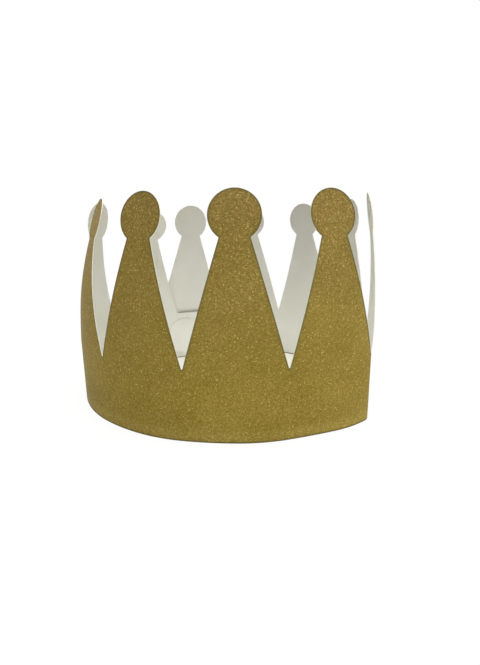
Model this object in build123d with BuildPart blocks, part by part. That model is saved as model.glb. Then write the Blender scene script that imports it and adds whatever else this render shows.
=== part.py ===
"""Paper crown: one die-cut strip of glitter card, rolled into a ring and closed with a tongue in a slit.

Millimetres and degrees, +Z up, the front towards -Y. The origin is on the ground, under the
middle of the crown. The strip has eleven like panels, each with one point on it. A point has
straight sides that taper to a neck, and a round head. The panels are numbered from the front
one, 0, to 6 at the end of the strip that lies outside and to -4 at the end that lies inside.
Past panel -4 comes a plain lap, which lies inside panel 6. A round tongue cut in panel 6 goes
in through a slit in the lap and lies flat on its inside.
"""

from build123d import *
from math import copysign, cos, degrees, radians, sin, sqrt, tan
import os

# The card and the flat strip
card = 0.4
pitch = 55.0
band_height = 39.5
neck_rise = 65.2
neck_width = 15.4
head_radius = 13.2
notch_floor = 0.6

# The lap and its fastening
lap_length = 41.0
lay_gap = 1.6
slit_place = 14.3
slit_width = 1.8
slit_play = 0.5
tongue_middle = 19.3
tongue_neck = 23.8
tongue_radius = 15.5
tongue_root = 0.3
tongue_bend = 1.2
tongue_gap = 0.3
tongue_turn = 45
knife_gap = 0.3

# Each panel: the turn of its half before and after its middle line, then how far its point
# leans in at the foot, curls in from there to the top, and twists about its middle line.
panels = {
    -4: (4.2, 21.4, 3.5, 33.0, 2.2),
    -3: (35.7, 21.3, 6.8, 5.6, -7.2),
    -2: (14.1, 16.6, 2.1, 18.0, -3.5),
    -1: (13.4, 17.6, 3.8, 10.1, -1.0),
    0: (9.4, 19.1, 1.1, 14.8, 4.0),
    1: (4.9, 18.9, 1.6, 10.9, 0.5),
    2: (-4.0, 0.0, -4.0, 14.6, 2.8),
    3: (30.9, 20.3, 9.7, -8.9, -8.8),
    4: (6.1, 14.5, 0.3, 7.7, 6.2),
    5: (29.1, 27.9, -0.1, 5.2, -4.8),
    6: (0.0, 0.0, 6.5, 1.8, 0.2),
}

# The card has one sharper bend, at the notch past this panel, over this length on each side.
creases = {1: 38.75}
crease_reach = 4.0

# Where a point's cross sections are drawn, as shares of the rise to its neck, and how much
# of the band's bend is gone from the card there.
rise_shares = (1 / 3, 2 / 3, 1)
unbent_shares = (0.19, 0.58, 1)

# The middle of panel 0 from the origin, in pitches
front_shares = (0.21176, -1.63749)

half_pitch = pitch / 2
lay = card + lay_gap
head_drop = sqrt(head_radius**2 - (neck_width / 2) ** 2)
point_rise = neck_rise + head_drop + head_radius
whole_turn = 360


def chord(length, turn):
    """Straight distance between the ends of an arc of this length and turn."""
    half = radians(turn) / 2
    return length * sin(half) / half if half else length


def walk(frame, length, turn):
    """The frame this much further along the card, which turns evenly on the way."""
    middle = frame.x_dir.rotate(Axis.Z, turn / 2)
    return Plane(
        origin=frame.origin + middle * chord(length, turn),
        x_dir=frame.x_dir.rotate(Axis.Z, turn),
        z_dir=(0, 0, 1),
    )


def walk_back(frame, runs):
    """The frame at the start of these runs, from the frame at their end."""
    for length, turn in reversed(runs):
        frame = walk(frame, -length, -turn)
    return frame


def half_runs(index, turn):
    """The runs of a half panel: its own even bend, and half of a crease at the notch beside it."""
    panel = min(panels) + index // 2
    even = (half_pitch - crease_reach, turn)
    if index % 2 and panel in creases:
        return [even, (crease_reach, creases[panel] / 2)]
    if index % 2 == 0 and panel - 1 in creases:
        return [(crease_reach, creases[panel - 1] / 2), even]
    return [(half_pitch, turn)]


def trimmed(runs, end, cut):
    """The runs with this length cut off the first or the last of them."""
    runs = list(runs)
    length, turn = runs[end]
    runs[end] = (length - cut, turn * (length - cut) / length)
    return runs


def card_section(start, runs):
    """The card seen on edge: runs of a length and a turn, with half the card on each side."""
    edges = []
    ends = []
    for side in (-card / 2, card / 2):
        frame = start
        ends.append(frame.origin + frame.y_dir * side)
        for length, turn in runs:
            place = frame.origin + frame.y_dir * side
            if turn:
                radius = length / radians(abs(turn)) - side * copysign(1, turn)
                edges.append(JernArc(place, frame.x_dir, radius, turn))
            else:
                edges.append(Line(place, place + frame.x_dir * length))
            frame = walk(frame, length, turn)
        ends.append(frame.origin + frame.y_dir * side)
    edges.append(Line(ends[0], ends[2]))
    edges.append(Line(ends[1], ends[3]))
    return Face(Wire(edges))


def course(ease):
    """Frames at each half pitch, from where the lap starts to the outer end, and the runs between.

    The first turn is the one that brings both ends into line. The ease goes from one
    turn at the back to another, which moves the outer end across the lap.
    """
    turns = [turn for bends in panels.values() for turn in bends[:2]]
    turns[eased[0]] += ease
    turns[eased[1]] -= ease
    turns[0] = whole_turn - sum(turns[1:]) - sum(creases.values())
    halves = [half_runs(index, turn) for index, turn in enumerate(turns)]
    front = Plane(origin=(front_shares[0] * pitch, front_shares[1] * pitch), x_dir=(1, 0))
    middle = 1 - 2 * min(panels)
    frames = [front]
    for runs in reversed(halves[:middle]):
        frames.insert(0, walk_back(frames[0], runs))
    for runs in halves[middle:]:
        frame = frames[-1]
        for length, turn in runs:
            frame = walk(frame, length, turn)
        frames.append(frame)
    return frames, halves


# The outer end has to lie one layer outside the lap, so the ease is found in a few steps.
eased = (14, 19)
steps = 8
ease = 0
for _ in range(steps):
    frames, halves = course(ease)
    end = frames[-1]
    across = (frames[0].origin - end.origin).dot(end.y_dir)
    middles = [(frames[number].origin + frames[number + 1].origin) / 2 for number in eased]
    ease += degrees((across - lay) / (middles[1] - middles[0]).dot(end.x_dir))


def point_plane(middle, share, twist, lean, curl):
    """Plane across a point's card, at a share of the way up to its neck."""
    rise = share * neck_rise
    part = rise / point_rise
    tilt = lean + curl * part
    up = Vector(0, 0, 1)
    run = chord(rise, curl * part)
    slope = lean + curl * part / 2
    along = middle.x_dir.rotate(Axis.Z, twist * part)
    inward = middle.y_dir.rotate(Axis.Z, twist * part)
    return Plane(
        origin=middle.origin
        + up * (band_height + run * cos(radians(slope)))
        + middle.y_dir * run * sin(radians(slope)),
        x_dir=along,
        z_dir=up * cos(radians(tilt)) + inward * sin(radians(tilt)),
    )


def crown_point(number):
    """One point of the crown, from the top of the band to the top of its round head."""
    index = 2 * (number - min(panels))
    before = trimmed(halves[index], 0, notch_floor / 2)
    after = trimmed(halves[index + 1], -1, notch_floor / 2)
    lean, curl, twist = panels[number][2:]
    middle = frames[index + 1]
    foot = (pitch - notch_floor) / 2
    foot_plane = Plane(middle.origin + Vector(0, 0, band_height), x_dir=middle.x_dir)
    planes = [foot_plane]
    planes += [point_plane(middle, share, twist, lean, curl) for share in rise_shares]
    sections = []
    for plane, share, unbent in zip(planes, (0, *rise_shares), (0, *unbent_shares)):
        scale = 1 + share * (neck_width / 2 / foot - 1)
        left, right = (
            [(length * scale, turn * scale * (1 - unbent)) for length, turn in runs]
            for runs in (before, after)
        )
        sections.append(plane * card_section(walk_back(Plane.XY, left), left + right))
    with BuildPart() as point:
        loft(sections)
        neck = planes[-1]
        with BuildSketch(Plane(neck.origin, x_dir=neck.x_dir, z_dir=-neck.y_dir)):
            with Locations((0, head_drop)):
                Circle(head_radius)
            Rectangle(2 * head_radius, 2 * head_radius, align=(Align.CENTER, Align.MAX), mode=Mode.SUBTRACT)
        extrude(amount=card / 2, both=True)
    return point.part


def tongue_outline(grow):
    """Outline of the round tongue on the flat card, seen from outside, from its root."""
    reach = sqrt(tongue_radius**2 - (tongue_neck / 2) ** 2)
    with Locations((0, tongue_middle)):
        Rectangle(
            reach + slit_reach,
            tongue_neck + 2 * grow,
            align=(Align.MIN, Align.CENTER),
        )
    with Locations((reach + slit_reach, tongue_middle)):
        Circle(tongue_radius + grow)


# The lap lies straight along panel 6, and bends with panel 5 where it's long enough to reach it.
lap_straight = pitch - (frames[-1].origin - frames[0].origin).dot(frames[0].x_dir)
lap_bent = max(lap_length - lap_straight, 0)
lap_runs = [(lap_length - lap_bent, 0)]
if lap_bent:
    lap_runs.insert(0, (lap_bent, halves[-3][0][1] * lap_bent / half_pitch))

# The tongue crosses the lap in two like bends with a straight run between them.
bend_length = tongue_bend * radians(tongue_turn)
bend_shift = tongue_bend * (1 - cos(radians(tongue_turn)))
cross_rise = lay + card + tongue_gap - 2 * bend_shift
cross_run = cross_rise / sin(radians(tongue_turn))
slit_reach = tongue_root + tongue_bend * sin(radians(tongue_turn)) + (lay - bend_shift) / tan(radians(tongue_turn))
slit = walk(frames[0], -slit_place, 0)
slit_face = Plane(slit.origin, x_dir=slit.x_dir, z_dir=-slit.y_dir)
root = Plane(slit.origin - slit.x_dir * slit_reach - slit.y_dir * lay, x_dir=slit.x_dir)
root_face = Plane(root.origin, x_dir=slit.x_dir, z_dir=-slit.y_dir)

tongue_runs = [
    (tongue_root, 0),
    (bend_length, tongue_turn),
    (cross_run, 0),
    (bend_length, -tongue_turn),
    (2 * tongue_radius, 0),
]
tongue_section = card_section(root, tongue_runs)
strip_runs = lap_runs + [run for runs in halves for run in runs]
strip_section = card_section(walk_back(frames[0], lap_runs), strip_runs)
points = [crown_point(number) for number in panels]

with BuildPart() as tongue:
    with BuildSketch():
        add(tongue_section)
    extrude(amount=band_height)
    with BuildSketch(root_face):
        tongue_outline(0)
    extrude(amount=3 * lay, both=True, mode=Mode.INTERSECT)

with BuildPart() as crown:
    with BuildSketch():
        add(strip_section)
    extrude(amount=band_height)
    add(points)
    with BuildSketch(slit_face.offset(-card)):
        with Locations((0, tongue_middle)):
            Rectangle(slit_width, tongue_neck + 2 * slit_play)
    extrude(amount=2 * card, mode=Mode.SUBTRACT)
    with BuildSketch(root_face.offset(-card)):
        tongue_outline(knife_gap)
    extrude(amount=2 * card, mode=Mode.SUBTRACT)
    add(tongue.part)

os.makedirs("parts", exist_ok=True)
crown.part.label = "crown"
export_step(crown.part, "parts/crown.step")
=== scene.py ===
"""A paper crown of gold glitter card.

It is one strip, cut flat, rolled into a ring and locked with a tongue in a slit.
"""

from math import copysign, cos, radians, sin, sqrt

import bmesh
import bpy
from mathutils import Matrix, Vector
from mathutils.geometry import intersect_point_line
from mathutils.kdtree import KDTree


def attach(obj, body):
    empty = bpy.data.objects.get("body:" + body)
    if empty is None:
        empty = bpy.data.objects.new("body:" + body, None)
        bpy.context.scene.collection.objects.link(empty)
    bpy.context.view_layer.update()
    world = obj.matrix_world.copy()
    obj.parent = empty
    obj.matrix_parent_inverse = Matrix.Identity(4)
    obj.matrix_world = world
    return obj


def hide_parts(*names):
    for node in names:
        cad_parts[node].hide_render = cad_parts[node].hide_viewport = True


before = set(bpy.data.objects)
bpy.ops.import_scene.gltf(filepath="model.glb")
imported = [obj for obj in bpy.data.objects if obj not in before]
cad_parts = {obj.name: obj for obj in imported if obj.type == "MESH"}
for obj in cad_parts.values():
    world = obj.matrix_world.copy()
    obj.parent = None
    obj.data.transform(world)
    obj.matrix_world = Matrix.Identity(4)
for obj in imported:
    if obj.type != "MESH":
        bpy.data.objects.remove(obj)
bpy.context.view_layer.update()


# The flat blank.
# The crown is one strip of card, glittered on one side, cut with a steel-rule die: a plain band
# with eleven like points, each a tall body that tapers to a neck, with a round head. A plain lap
# follows at one end.

MM = 0.001
pitch = 55.0 * MM
band_height = 39.5 * MM
notch_floor = 0.6 * MM
neck_rise = 65.2 * MM
neck_half = 7.7 * MM
head_radius = 13.2 * MM
head_segments = 72
card = 0.4 * MM
lap_length = 41.0 * MM
cell = 1.9 * MM
half_pitch = pitch / 2
foot_half = (pitch - notch_floor) / 2
head_drop = sqrt(head_radius**2 - neck_half**2)
point_rise = neck_rise + head_drop + head_radius
crown_top = band_height + point_rise
panel_numbers = range(-4, 7)

# Places that are nearer to each other than this are the same.
hair = 0.001 * MM


def everything(bm):
    return bm.verts[:] + bm.edges[:] + bm.faces[:]


def made_verts(made):
    return [v for v in made["geom"] if isinstance(v, bmesh.types.BMVert)]


def cut(bm, place, normal, geom=None, **options):
    """Cuts the card along a line, everywhere or in the given part of it."""
    bmesh.ops.bisect_plane(
        bm, geom=geom or everything(bm), plane_co=place, plane_no=normal, dist=hair / 10, **options
    )


def flat_point(bm):
    """One point: a disc for its head, cut level at the neck, and its body drawn to the band."""
    neck = band_height + neck_rise
    bmesh.ops.create_circle(
        bm, cap_ends=True, radius=head_radius, segments=head_segments,
        matrix=Matrix.Translation((0, neck + head_drop, 0)),
    )
    cut(bm, (0, neck, 0), (0, 1, 0), clear_inner=True)
    level = [e for e in bm.edges if all(abs(v.co.y - neck) < hair for v in e.verts)]
    foot = made_verts(bmesh.ops.extrude_edge_only(bm, edges=level))
    neck_reach = max(v.co.x for v in foot)
    for v in foot:
        v.co = (v.co.x * foot_half / neck_reach, band_height, 0)


def corners(bm, low, high):
    """The four corners of a rectangle of card, in turn."""
    places = ((low[0], low[1]), (high[0], low[1]), (high[0], high[1]), (low[0], high[1]))
    return [bm.verts.new((x, y, 0)) for x, y in places]


def gridded(bm, low, high):
    """Cuts the flat card into small squares, so that it can bend."""
    columns = round((high[0] - low[0]) / cell / 2) * 2
    rows = round((high[1] - low[1]) / cell)
    for i in range(1, columns):
        cut(bm, (low[0] + (high[0] - low[0]) * i / columns, 0, 0), (1, 0, 0))
    for i in range(1, rows):
        cut(bm, (0, low[1] + (high[1] - low[1]) * i / rows, 0), (0, 1, 0))


def shifted_copy(source, bm, shift):
    """Adds another copy of a flat piece, moved along the strip."""
    mesh = bpy.data.meshes.new("copy")
    source.to_mesh(mesh)
    mesh.transform(Matrix.Translation((shift, 0, 0)))
    bm.from_mesh(mesh)
    bpy.data.meshes.remove(mesh)


def flat_panel(with_band=True):
    """One point, and the panel of the band below it."""
    panel = bmesh.new()
    flat_point(panel)
    gridded(panel, (-foot_half, band_height), (foot_half, crown_top))
    if with_band:
        band = bmesh.new()
        band.faces.new(corners(band, (-half_pitch, 0), (half_pitch, band_height)))
        for x in (-foot_half, foot_half):
            cut(band, (x, 0, 0), (1, 0, 0))
        gridded(band, (-foot_half, 0), (foot_half, band_height))
        shifted_copy(band, panel, 0)
        band.free()
    bmesh.ops.remove_doubles(panel, verts=panel.verts, dist=hair)
    return panel


strip = bmesh.new()
panel = flat_panel()
for number in panel_numbers[:-1]:
    shifted_copy(panel, strip, number * pitch)
panel.free()

lap = bmesh.new()
lap_end = panel_numbers[0] * pitch - half_pitch
lap.faces.new(corners(lap, (lap_end - lap_length, 0), (lap_end, band_height)))


# The slit and the tongue.
# The die also cuts a slit across the lap, and a round tongue in the panel at the strip's other
# end. The tongue stays joined to the panel by its root, and the cut round it leaves a fine gap.

slit_place = 14.3 * MM
slit_half_width = 0.9 * MM
slit_half_height = 12.4 * MM
tongue_middle = 19.3 * MM
tongue_half_neck = 11.9 * MM
tongue_radius = 15.5 * MM
tongue_segments = 56
tongue_span = 30.0 * MM
knife_gap = 0.3 * MM
slit_reach = 2.797 * MM
root_to_end = 32.725 * MM
slit_ends = (tongue_middle - slit_half_height, tongue_middle + slit_half_height)

for x in (-slit_place - slit_half_width, -slit_place + slit_half_width):
    cut(lap, (lap_end + x, 0, 0), (1, 0, 0))
for y in slit_ends:
    cut(lap, (0, y, 0), (0, 1, 0))
slit_middle = Vector((lap_end - slit_place, tongue_middle, 0))
slit_face = min(lap.faces, key=lambda f: (f.calc_center_median() - slit_middle).length)
bmesh.ops.delete(lap, geom=[slit_face], context="FACES")
gridded(lap, (lap_end - lap_length, 0), (lap_end, band_height))
shifted_copy(lap, strip, 0)
lap.free()

last_middle = panel_numbers[-1] * pitch
outer_end = last_middle + half_pitch
root_x = outer_end - root_to_end
tongue_reach = sqrt(tongue_radius**2 - tongue_half_neck**2) + slit_reach


def tongue_rim(bm, grow, cap):
    """The tongue's round end, or the gap's round it, cut off square. Gives its two ends."""
    disc = bmesh.ops.create_circle(
        bm, cap_ends=cap, radius=tongue_radius + grow, segments=tongue_segments,
        matrix=Matrix.Translation((root_x + tongue_reach, tongue_middle, 0)),
    )["verts"]
    side = tongue_half_neck + grow
    back = root_x + tongue_reach - sqrt((tongue_radius + grow) ** 2 - side**2)
    edges = list({e for v in disc for e in v.link_edges})
    faces = list({f for v in disc for f in v.link_faces})
    cut(bm, (back, 0, 0), (1, 0, 0), geom=disc + edges + faces, clear_inner=True)
    ends = [v for v in bm.verts if abs(v.co.x - back) < hair]
    return sorted(ends, key=lambda v: v.co.y)


# The last panel's band has the gap cut out of it, which runs from the root round the tongue.
# Where it joins its neighbours, places as near as `weld` become one.
weld = 0.02 * MM
window = bmesh.new()
outline = corners(window, (last_middle - half_pitch, 0), (last_middle + half_pitch, band_height))
for i in range(4):
    window.edges.new((outline[i], outline[i - 1]))
ends = tongue_rim(window, knife_gap, cap=False)
gap_sides = (-tongue_half_neck - knife_gap, -tongue_half_neck,
             tongue_half_neck, tongue_half_neck + knife_gap)
roots = [window.verts.new((root_x, tongue_middle + y, 0)) for y in gap_sides]
rim = [ends[0], *roots, ends[1]]
for a, b in zip(rim, rim[1:]):
    window.edges.new((a, b))
bmesh.ops.triangle_fill(window, edges=window.edges[:], use_beauty=True, use_dissolve=False)
for x in (-foot_half, foot_half):
    cut(window, (last_middle + x, 0, 0), (1, 0, 0))
gridded(window, (last_middle - foot_half, 0), (last_middle + foot_half, band_height))
panel = flat_panel(with_band=False)
shifted_copy(panel, strip, last_middle)
shifted_copy(window, strip, 0)
panel.free()
window.free()
for y in slit_ends:
    cut(strip, (0, y, 0), (0, 1, 0))
bmesh.ops.remove_doubles(strip, verts=strip.verts, dist=weld)

# The tongue itself has finer cuts near its root, where it bends.
fine_cell = 0.3 * MM
fine_cells = 18
tongue = bmesh.new()
ends = tongue_rim(tongue, 0, cap=True)
level = [e for e in tongue.edges if all(v in ends for v in e.verts)]
for v in made_verts(bmesh.ops.extrude_edge_only(tongue, edges=level)):
    v.co.x = root_x
gridded(tongue, (root_x, 0), (root_x + tongue_span, band_height))
for i in range(1, fine_cells):
    cut(tongue, (root_x + i * fine_cell, 0, 0), (1, 0, 0))


# Rolling the strip.
# The card is bent round into a ring by hand, so it curves unevenly: by the first and second half
# of each panel below, in degrees. The points lean in at the foot, curl in towards their heads,
# and twist a little. The card has one crease, at the notch between the two halves in `creased`.

turns = [4.05, 21.4, 35.7, 21.3, 14.1, 16.6, 13.4, 17.6, 9.4, 19.1, 4.9, 18.9, -4.0, 0.0,
         31.072, 20.3, 6.1, 14.5, 29.1, 27.728, 0.0, 0.0]
leans = [3.5, 6.8, 2.1, 3.8, 1.1, 1.6, -4.0, 9.7, 0.3, -0.1, 6.5]
curls = [33.0, 5.6, 18.0, 10.1, 14.8, 10.9, 14.6, -8.9, 7.7, 5.2, 1.8]
twists = [2.2, -7.2, -3.5, -1.0, 4.0, 0.5, 2.8, -8.8, 6.2, -4.8, 0.2]
crease_turn = radians(38.75)
crease_reach = 4.0 * MM
creased = (11, 12)
front = Vector((11.647, -90.062)) * MM
front_index = 9

# Above this share of a point's rise, its card no longer follows the bend of the band.
flat_above = 0.886


def chord(length, turn):
    """Straight distance between the ends of an arc of this length and turn."""
    half = turn / 2
    return length * sin(half) / half if half else length


def walk(place, heading, length, turn):
    """Place and heading this much further along the card, which turns evenly on the way."""
    way = heading + turn / 2
    step = chord(length, turn)
    return place + Vector((cos(way), sin(way))) * step, heading + turn


def walk_runs(place, heading, runs, length):
    """As walk, over runs of a length and a turn each, for this much card, forward or back."""
    way = copysign(1, length)
    left = abs(length)
    for run, turn in runs:
        step = min(left, run)
        place, heading = walk(place, heading, way * step, way * turn * step / run)
        left -= step
    return place, heading


# Each half panel, from its first side to its last, as runs of a length and a turn.
halves = [[(half_pitch, radians(turn))] for turn in turns]
for index in creased:
    bend = (crease_reach, crease_turn / 2)
    rest = (half_pitch - crease_reach, radians(turns[index]))
    halves[index] = [rest, bend] if index % 2 else [bend, rest]
stations = [(front, 0.0)]
for runs in reversed(halves[:front_index]):
    stations.insert(0, walk_runs(*stations[0], reversed(runs), -half_pitch))
for runs in halves[front_index:]:
    stations.append(walk_runs(*stations[-1], runs, half_pitch))


def on_band(x):
    """Place and heading of the rolled card this far along the strip."""
    share = x / half_pitch + front_index
    if share < 0:
        return walk(*stations[0], share * half_pitch, 0.0)
    index = min(int(share), len(halves) - 1)
    return walk_runs(*stations[index], halves[index], (share - index) * half_pitch)


def on_point(number, width, rise):
    """Where a place on a point comes to, this far from its middle line and above the band."""
    k = number - panel_numbers[0]
    place, heading = stations[2 * k + 1]
    lean, curl, twist = (radians(values[k]) for values in (leans, curls, twists))
    part = rise / point_rise
    ease = min(part / flat_above, 1)
    stays = 1 - ease * ease * (3 - 2 * ease)
    runs = halves[2 * k + 1] if width > 0 else reversed(halves[2 * k])
    unbent = [(run, turn * stays) for run, turn in runs]
    local, _ = walk_runs(Vector((0, 0)), 0.0, unbent, width)
    slope = lean + curl * part / 2
    tilt = lean + curl * part
    run = chord(rise, curl * part)
    inward = Vector((-sin(heading), cos(heading), 0))
    along = Vector((cos(heading + twist * part), sin(heading + twist * part), 0))
    turned_in = Vector((-along.y, along.x, 0))
    middle = Vector((place.x, place.y, band_height)) + inward * run * sin(slope)
    middle.z += run * cos(slope)
    across = turned_in * local.y * cos(tilt) - Vector((0, 0, local.y * sin(tilt)))
    return middle + along * local.x + across


def rolled(x, y):
    """Where a place on the flat blank comes to when the strip is rolled."""
    if y <= band_height + hair / 10:
        place, heading = on_band(x)
        return Vector((place.x, place.y, y))
    number = min(max(round(x / pitch), panel_numbers[0]), panel_numbers[-1])
    return on_point(number, x - number * pitch, y - band_height)


def edge_distances(bm):
    """Gives each place on the flat card its distance from a cut edge, for the finish.

    The tongue's root isn't cut.
    """
    far = 3 * MM
    layer = bm.verts.layers.float.new("from_edge")
    places = KDTree(len(bm.verts))
    for i, v in enumerate(bm.verts):
        places.insert(v.co, i)
        v[layer] = far
    places.balance()
    bm.verts.ensure_lookup_table()
    for e in bm.edges:
        if e.is_boundary and any(abs(v.co.x - root_x) > hair for v in e.verts):
            a, b = (v.co for v in e.verts)
            for co, i, _ in places.find_range((a + b) / 2, far + e.calc_length() / 2):
                _, share = intersect_point_line(co, a, b)
                near = a.lerp(b, min(max(share, 0), 1))
                v = bm.verts[i]
                v[layer] = min(v[layer], (near - co).length)


edge_distances(strip)
for v in strip.verts:
    v.co = rolled(v.co.x, v.co.y)

# The tongue goes in through the slit in two like bends and lies along the lap's inside.
tongue_root = 0.3 * MM
tongue_turn = radians(45)
bend_length = 0.9425 * MM
cross_run = 2.8243 * MM
bends = [(tongue_root, 0.0), (bend_length, tongue_turn), (cross_run, 0.0),
         (bend_length, -tongue_turn), (2 * tongue_span, 0.0)]
edge_distances(tongue)
for v in tongue.verts:
    place, heading = on_band(root_x)
    place, heading = walk_runs(place, heading, bends, v.co.x - root_x)
    v.co = (place.x, place.y, v.co.y)
shifted_copy(tongue, strip, 0)
tongue.free()

# The tongue is joined on at its root, the glitter side is turned out, and the sheet gets its
# thickness. Its three materials are made with the finish, below.
sharp_angle = radians(40)
bmesh.ops.remove_doubles(strip, verts=strip.verts, dist=2 * hair)
bmesh.ops.recalc_face_normals(strip, faces=strip.faces)
front_place = Vector((*front, band_height / 2))
front_face = min(strip.faces, key=lambda f: (f.calc_center_median() - front_place).length)
if front_face.normal.y > 0:
    bmesh.ops.reverse_faces(strip, faces=strip.faces)

crown_mesh = bpy.data.meshes.new("crown_card")
strip.to_mesh(crown_mesh)
strip.free()
for side in ("outside", "inside", "cut edge"):
    crown_mesh.materials.append(None)
crown = bpy.data.objects.new("crown_card", crown_mesh)
bpy.context.scene.collection.objects.link(crown)
thickness = crown.modifiers.new("thickness", "SOLIDIFY")
thickness.thickness = card
thickness.offset = 0
thickness.use_even_offset = True
thickness.material_offset = 1
thickness.material_offset_rim = 2
thick_crown = crown.evaluated_get(bpy.context.evaluated_depsgraph_get())
solid = bpy.data.meshes.new_from_object(thick_crown)
crown.modifiers.clear()
crown.data = solid
solid.name = "crown_card_solid"
solid.polygons.foreach_set("use_smooth", [True] * len(solid.polygons))
solid.set_sharp_from_angle(angle=sharp_angle)


# The finish.
# The outside is coated with fine gold glitter in clear lacquer, over olive-brown, darker in a thin
# margin along the cuts. The inside is the plain off-white card, with its faint grain, and the cut
# edge shows the card's pale core.

class Value:
    """A shader socket that sums can be written with."""

    def __init__(self, tree, socket):
        self.tree, self.socket = tree, socket

    def node(self, kind, settings=(), ramp=(), **inputs):
        """A node. Its sockets are given by name, or by number as _0, _1 and so on."""
        made = self.tree.nodes.new(kind)
        for name, value in dict(settings).items():
            setattr(made, name, value)
        if ramp:
            stops = made.color_ramp.elements
            while len(stops) < len(ramp):
                stops.new(0.5)
            for stop, (place, shade) in zip(stops, ramp):
                stop.position = place
                stop.color = shade
        for name, value in inputs.items():
            key = int(name[1:]) if name[0] == "_" else name.replace("_", " ")
            if isinstance(value, Value):
                self.tree.links.new(value.socket, made.inputs[key])
            else:
                made.inputs[key].default_value = value
        return made

    def out(self, kind, output=0, **options):
        return Value(self.tree, self.node(kind, **options).outputs[output])

    def outs(self, kind, **options):
        return [Value(self.tree, socket) for socket in self.node(kind, **options).outputs]

    def sum(self, operation, a, b):
        return self.out("ShaderNodeMath", settings={"operation": operation}, _0=a, _1=b)

    def __add__(self, other):
        return self.sum("ADD", self, other)

    def __radd__(self, other):
        return self.sum("ADD", other, self)

    def __sub__(self, other):
        return self.sum("SUBTRACT", self, other)

    def __rsub__(self, other):
        return self.sum("SUBTRACT", other, self)

    def __mul__(self, other):
        return self.sum("MULTIPLY", self, other)

    def __rmul__(self, other):
        return self.sum("MULTIPLY", other, self)

    def clamped(self):
        return self.out("ShaderNodeClamp", Value=self)

    def between(self, start, full):
        """0 up to the start, 1 from full on and even between. Full may be the lower one."""
        return ((self - start) * (1 / (full - start))).clamped()

    def mixed(self, a, b):
        """Colour a where this is 0 and b where it is 1."""
        colours = {"data_type": "RGBA"}
        return self.out("ShaderNodeMix", output=2, settings=colours, _0=self, _6=a, _7=b)

    def noise(self, scale, detail=2.0, roughness=0.5):
        """Soft noise over the piece, from its places."""
        kind = "ShaderNodeTexNoise"
        return self.out(kind, Vector=self, Scale=scale, Detail=detail, Roughness=roughness)

    def shades(self, *ramp):
        """The colour of a ramp at this value."""
        return self.out("ShaderNodeValToRGB", ramp=ramp, Fac=self)

    def feeds(self, shader, name):
        self.tree.links.new(self.socket, shader.inputs[name])


def finish_named(name):
    """A new material, its shader, and the place on the piece."""
    material = bpy.data.materials.new(name)
    material.use_nodes = True
    tree = material.node_tree
    shader = tree.nodes["Principled BSDF"]
    return material, shader, Value(tree, tree.nodes.new("ShaderNodeTexCoord").outputs["Object"])


def linear(r, g, b):
    """A colour as it is seen, 0 to 255, for a socket."""
    seen = (c / 255 for c in (r, g, b))
    return tuple(c / 12.92 if c <= 0.04045 else ((c + 0.055) / 1.055) ** 2.4 for c in seen) + (1,)


glitter, shader, place = finish_named("gold_glitter")
_, _, height = place.outs("ShaderNodeSeparateXYZ", Vector=place)
fleck = place.out("ShaderNodeTexVoronoi", output="Color", Vector=place, Scale=1900.0)
shade, chance, _ = fleck.outs("ShaderNodeSeparateColor", Color=fleck)
clumps = place.noise(1000.0)
clouds = place.noise(38.0)
warmth = place.noise(260.0)

# The flecks stand out more towards the heads, and near the foot the gold is painted lighter:
# painted light from the table.
contrast = 1.0 + height.between(60 * MM, crown_top) * 1.03
foot_light = height.between(8.5 * MM, 3.95 * MM) * 0.2
grain = ((shade - 0.5) * 0.36 + (clumps - 0.5) * 0.68) * contrast
level = (0.5 + grain + (clouds - 0.5) * 0.4 + foot_light).clamped()
gold = level.shades(
    (0.0, linear(106, 87, 20)),
    (0.5, linear(139, 120, 47)),
    (0.8, linear(163, 142, 69)),
    (1.0, linear(190, 169, 93)),
)
# Painted shade: higher up, the gold is mixed more and more with a dull brown, most at the heads.
gold = (height.between(25 * MM, crown_top) * 0.477).mixed(gold, linear(110, 90, 58))
gold = ((warmth - 0.45).clamped() * contrast * 0.7).mixed(gold, linear(146, 113, 60))
# Some flecks are shinier, and their base colour is painted paler gold as a painted glint.
shiny_fleck_and_glint = chance.between(0.93, 1.0) * 0.98
gold = (shiny_fleck_and_glint * 0.8).mixed(gold, linear(196, 178, 104))
from_edge = place.out("ShaderNodeAttribute", output=2, settings={"attribute_name": "from_edge"})
# The gold is darker in a thin margin along every cut edge.
darker_margin = from_edge.between(1.2 * MM, 0.575 * MM) * 0.6
darker_margin.mixed(gold, linear(88, 85, 52)).feeds(shader, "Base Color")
(0.6 - shiny_fleck_and_glint * 0.2).feeds(shader, "Roughness")
(0.08 + shiny_fleck_and_glint * 0.3).feeds(shader, "Metallic")
bump = place.out("ShaderNodeBump", Height=level, Strength=0.3, Distance=0.1 * MM)
bump.feeds(shader, "Normal")
shader.inputs["Specular IOR Level"].default_value = 0.08

inside, shader, place = finish_named("plain_card")
across, back, height = place.outs("ShaderNodeSeparateXYZ", Vector=place)
fibres = place.noise(900.0, detail=4.0, roughness=0.65)
clouds = place.noise(45.0)
level = (0.5 + (fibres - 0.5) * 0.5 + (clouds - 0.5) * 0.5).clamped()
pale = level.shades((0.2, linear(207, 206, 196)), (0.8, linear(223, 222, 213)))
# Painted shade: the inside card is darker towards the heads.
pale = (height.between(75 * MM, crown_top) * 0.348).mixed(pale, linear(174, 167, 152))
# Painted shade: the inside card is darker towards the crown's left side.
pale = (across.between(-60 * MM, -99 * MM) * 0.273).mixed(pale, linear(150, 142, 124))
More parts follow.
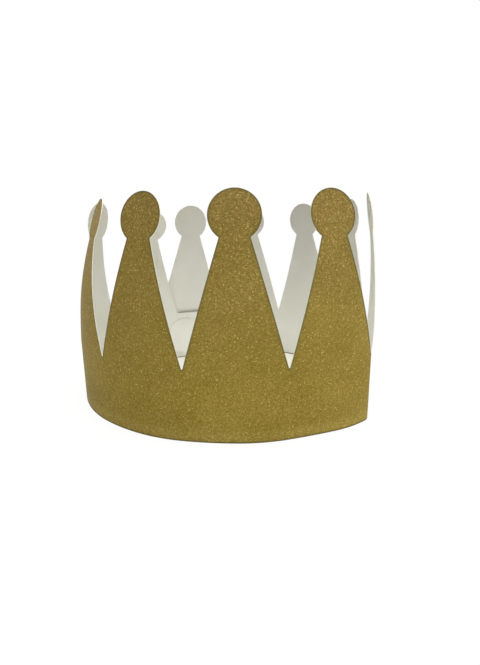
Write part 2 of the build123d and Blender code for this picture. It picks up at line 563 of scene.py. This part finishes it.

# Painted shade: the panel that the lap lies against is darker in a strip just above the lap's top,
# and the foot has a painted dark contact line where it meets the table.
above_lap = height.between(43.0 * MM, 39.667 * MM) * height.between(39.3 * MM, 39.5 * MM)
along_lap = across.between(-43.5 * MM, -43.0 * MM) * across.between(-9.5 * MM, -10.0 * MM)
at_back = back.between(50.0 * MM, 50.5 * MM)
pale = (above_lap * along_lap * at_back * 0.3).mixed(pale, linear(146, 138, 118))
foot_line = height.between(1.2 * MM, 0.8 * MM) * 0.8
foot_line.mixed(pale, linear(92, 88, 66)).feeds(shader, "Base Color")
bump = place.out("ShaderNodeBump", Height=fibres, Strength=0.2, Distance=0.05 * MM)
bump.feeds(shader, "Normal")
shader.inputs["Roughness"].default_value = 0.75
shader.inputs["Specular IOR Level"].default_value = 0.25

edge, shader, place = finish_named("cut_edge")
core = place.noise(1400.0).shades((0.3, linear(206, 200, 176)), (0.7, linear(224, 219, 198)))
core.feeds(shader, "Base Color")
shader.inputs["Roughness"].default_value = 0.8

for index, material in enumerate((glitter, inside, edge)):
    solid.materials[index] = material
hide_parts("crown")
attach(crown, "root")


# The setting.
# A white sheet under the crown, faint even light from all round, a large soft lamp above, a small
# one low on the right, and the camera of the photograph, a little above the points.

floor_half = 30.0
ring_lift = 0.02 * MM
ring_step = half_pitch / 4
ring_points = 4 * len(halves) - 3
strip_start = -front_index * half_pitch
floor_bm = bmesh.new()
bmesh.ops.create_grid(floor_bm, x_segments=1, y_segments=1, size=floor_half)
ring = [on_band(strip_start + i * ring_step)[0] for i in range(ring_points)]
in_ring = floor_bm.faces.new([floor_bm.verts.new((*place, ring_lift)) for place in ring])
in_ring.material_index = 1
floor_mesh = bpy.data.meshes.new("floor")
floor_bm.to_mesh(floor_mesh)
floor_bm.free()
floor = bpy.data.objects.new("floor", floor_mesh)
bpy.context.scene.collection.objects.link(floor)


def seen_directly(tree):
    """1 for what the camera sees, straight or mirrored, and 0 for the light on things."""
    path = tree.nodes.new("ShaderNodeLightPath")
    camera_ray, glossy_ray, through = (
        Value(tree, path.outputs[name])
        for name in ("Is Camera Ray", "Is Glossy Ray", "Is Transmission Ray")
    )
    return (camera_ray + glossy_ray + through).clamped()


# The sheet shows a little of the crown's shadow near it. Inside the ring it glows a darker cream
# in the card's colour: painted shade, with the card's light thrown back onto it. Each has its own
# colour, and a share that looks evenly lit.
white = (1, 1, 1, 1)
sheets = (("white_sheet", white, 0.93), ("sheet_in_the_ring", linear(220, 217, 198), 0.8))
for name, colour, even in sheets:
    sheet, shader, place = finish_named(name)
    tree = sheet.node_tree
    away = place.out("ShaderNodeVectorMath", output=1, settings={"operation": "LENGTH"}, _0=place)
    matt = place.out("ShaderNodeBsdfDiffuse", Color=(0.86, 0.86, 0.83, 1))
    glow = place.out("ShaderNodeEmission", Color=colour, Strength=1.0)
    even = even + away.between(110 * MM, 310 * MM) * (1 - even)
    shown = place.out("ShaderNodeMixShader", _0=seen_directly(tree) * even, _1=matt, _2=glow)
    tree.links.new(shown.socket, tree.nodes["Material Output"].inputs["Surface"])
    floor_mesh.materials.append(sheet)

world = bpy.data.worlds.new("studio")
bpy.context.scene.world = world
world.use_nodes = True
tree = world.node_tree
tree.nodes.clear()
seen = seen_directly(tree)
light = seen.out("ShaderNodeBackground", Color=white, Strength=0.08)
backdrop = seen.out("ShaderNodeBackground", Color=white, Strength=1.0)
both = seen.out("ShaderNodeMixShader", _0=seen, _1=light, _2=backdrop)
output = tree.nodes.new("ShaderNodeOutputWorld")
tree.links.new(both.socket, output.inputs["Surface"])

# Each lamp's width, power and place. Both point at the crown.
lamps = (("ceiling", 2.0, 102, (0.2, 0.12, 2.1)), ("window", 1.0, 6.5, (1.4, -0.9, 0.12)))
for name, width, power, place in lamps:
    lamp = bpy.data.lights.new(name, "AREA")
    lamp.size = width
    lamp.energy = power
    lamp_object = bpy.data.objects.new(name, lamp)
    bpy.context.scene.collection.objects.link(lamp_object)
    lamp_object.location = place
    lamp_object.rotation_euler = lamp_object.location.to_track_quat("Z", "Y").to_euler()

# The camera's tilt in radians, its place from the foot of the front point in panels, and its
# focal length in pixels of the photograph.
pitch_down, yaw, roll = 0.2319, -0.035, -0.0113
eye_in_panels = Vector((0.1687, -3.6098, 1.9326))
focal_pixels = 420.2692
picture_pixels = 665
film_height = 36
half_pixel = 0.5
nearest = 10 * MM
camera_data = bpy.data.cameras.new("camera")
camera = bpy.data.objects.new("camera", camera_data)
bpy.context.scene.collection.objects.link(camera)
bpy.context.scene.camera = camera
ahead = Vector((sin(yaw) * cos(pitch_down), cos(yaw) * cos(pitch_down), -sin(pitch_down)))
right = Vector((cos(yaw), -sin(yaw), 0))
up = right.cross(ahead)
tilted_right = cos(roll) * right + sin(roll) * up
tilted_up = -sin(roll) * right + cos(roll) * up
turned = Matrix((tilted_right, tilted_up, -ahead)).transposed().to_4x4()
eye = Vector((*front, 0)) + eye_in_panels * pitch
camera.matrix_world = Matrix.Translation(eye) @ turned
camera_data.sensor_fit = "VERTICAL"
camera_data.sensor_height = film_height
camera_data.lens = focal_pixels * film_height / picture_pixels
camera_data.shift_y = -half_pixel / picture_pixels
camera_data.clip_start = nearest

bpy.context.scene.view_settings.view_transform = "Standard"
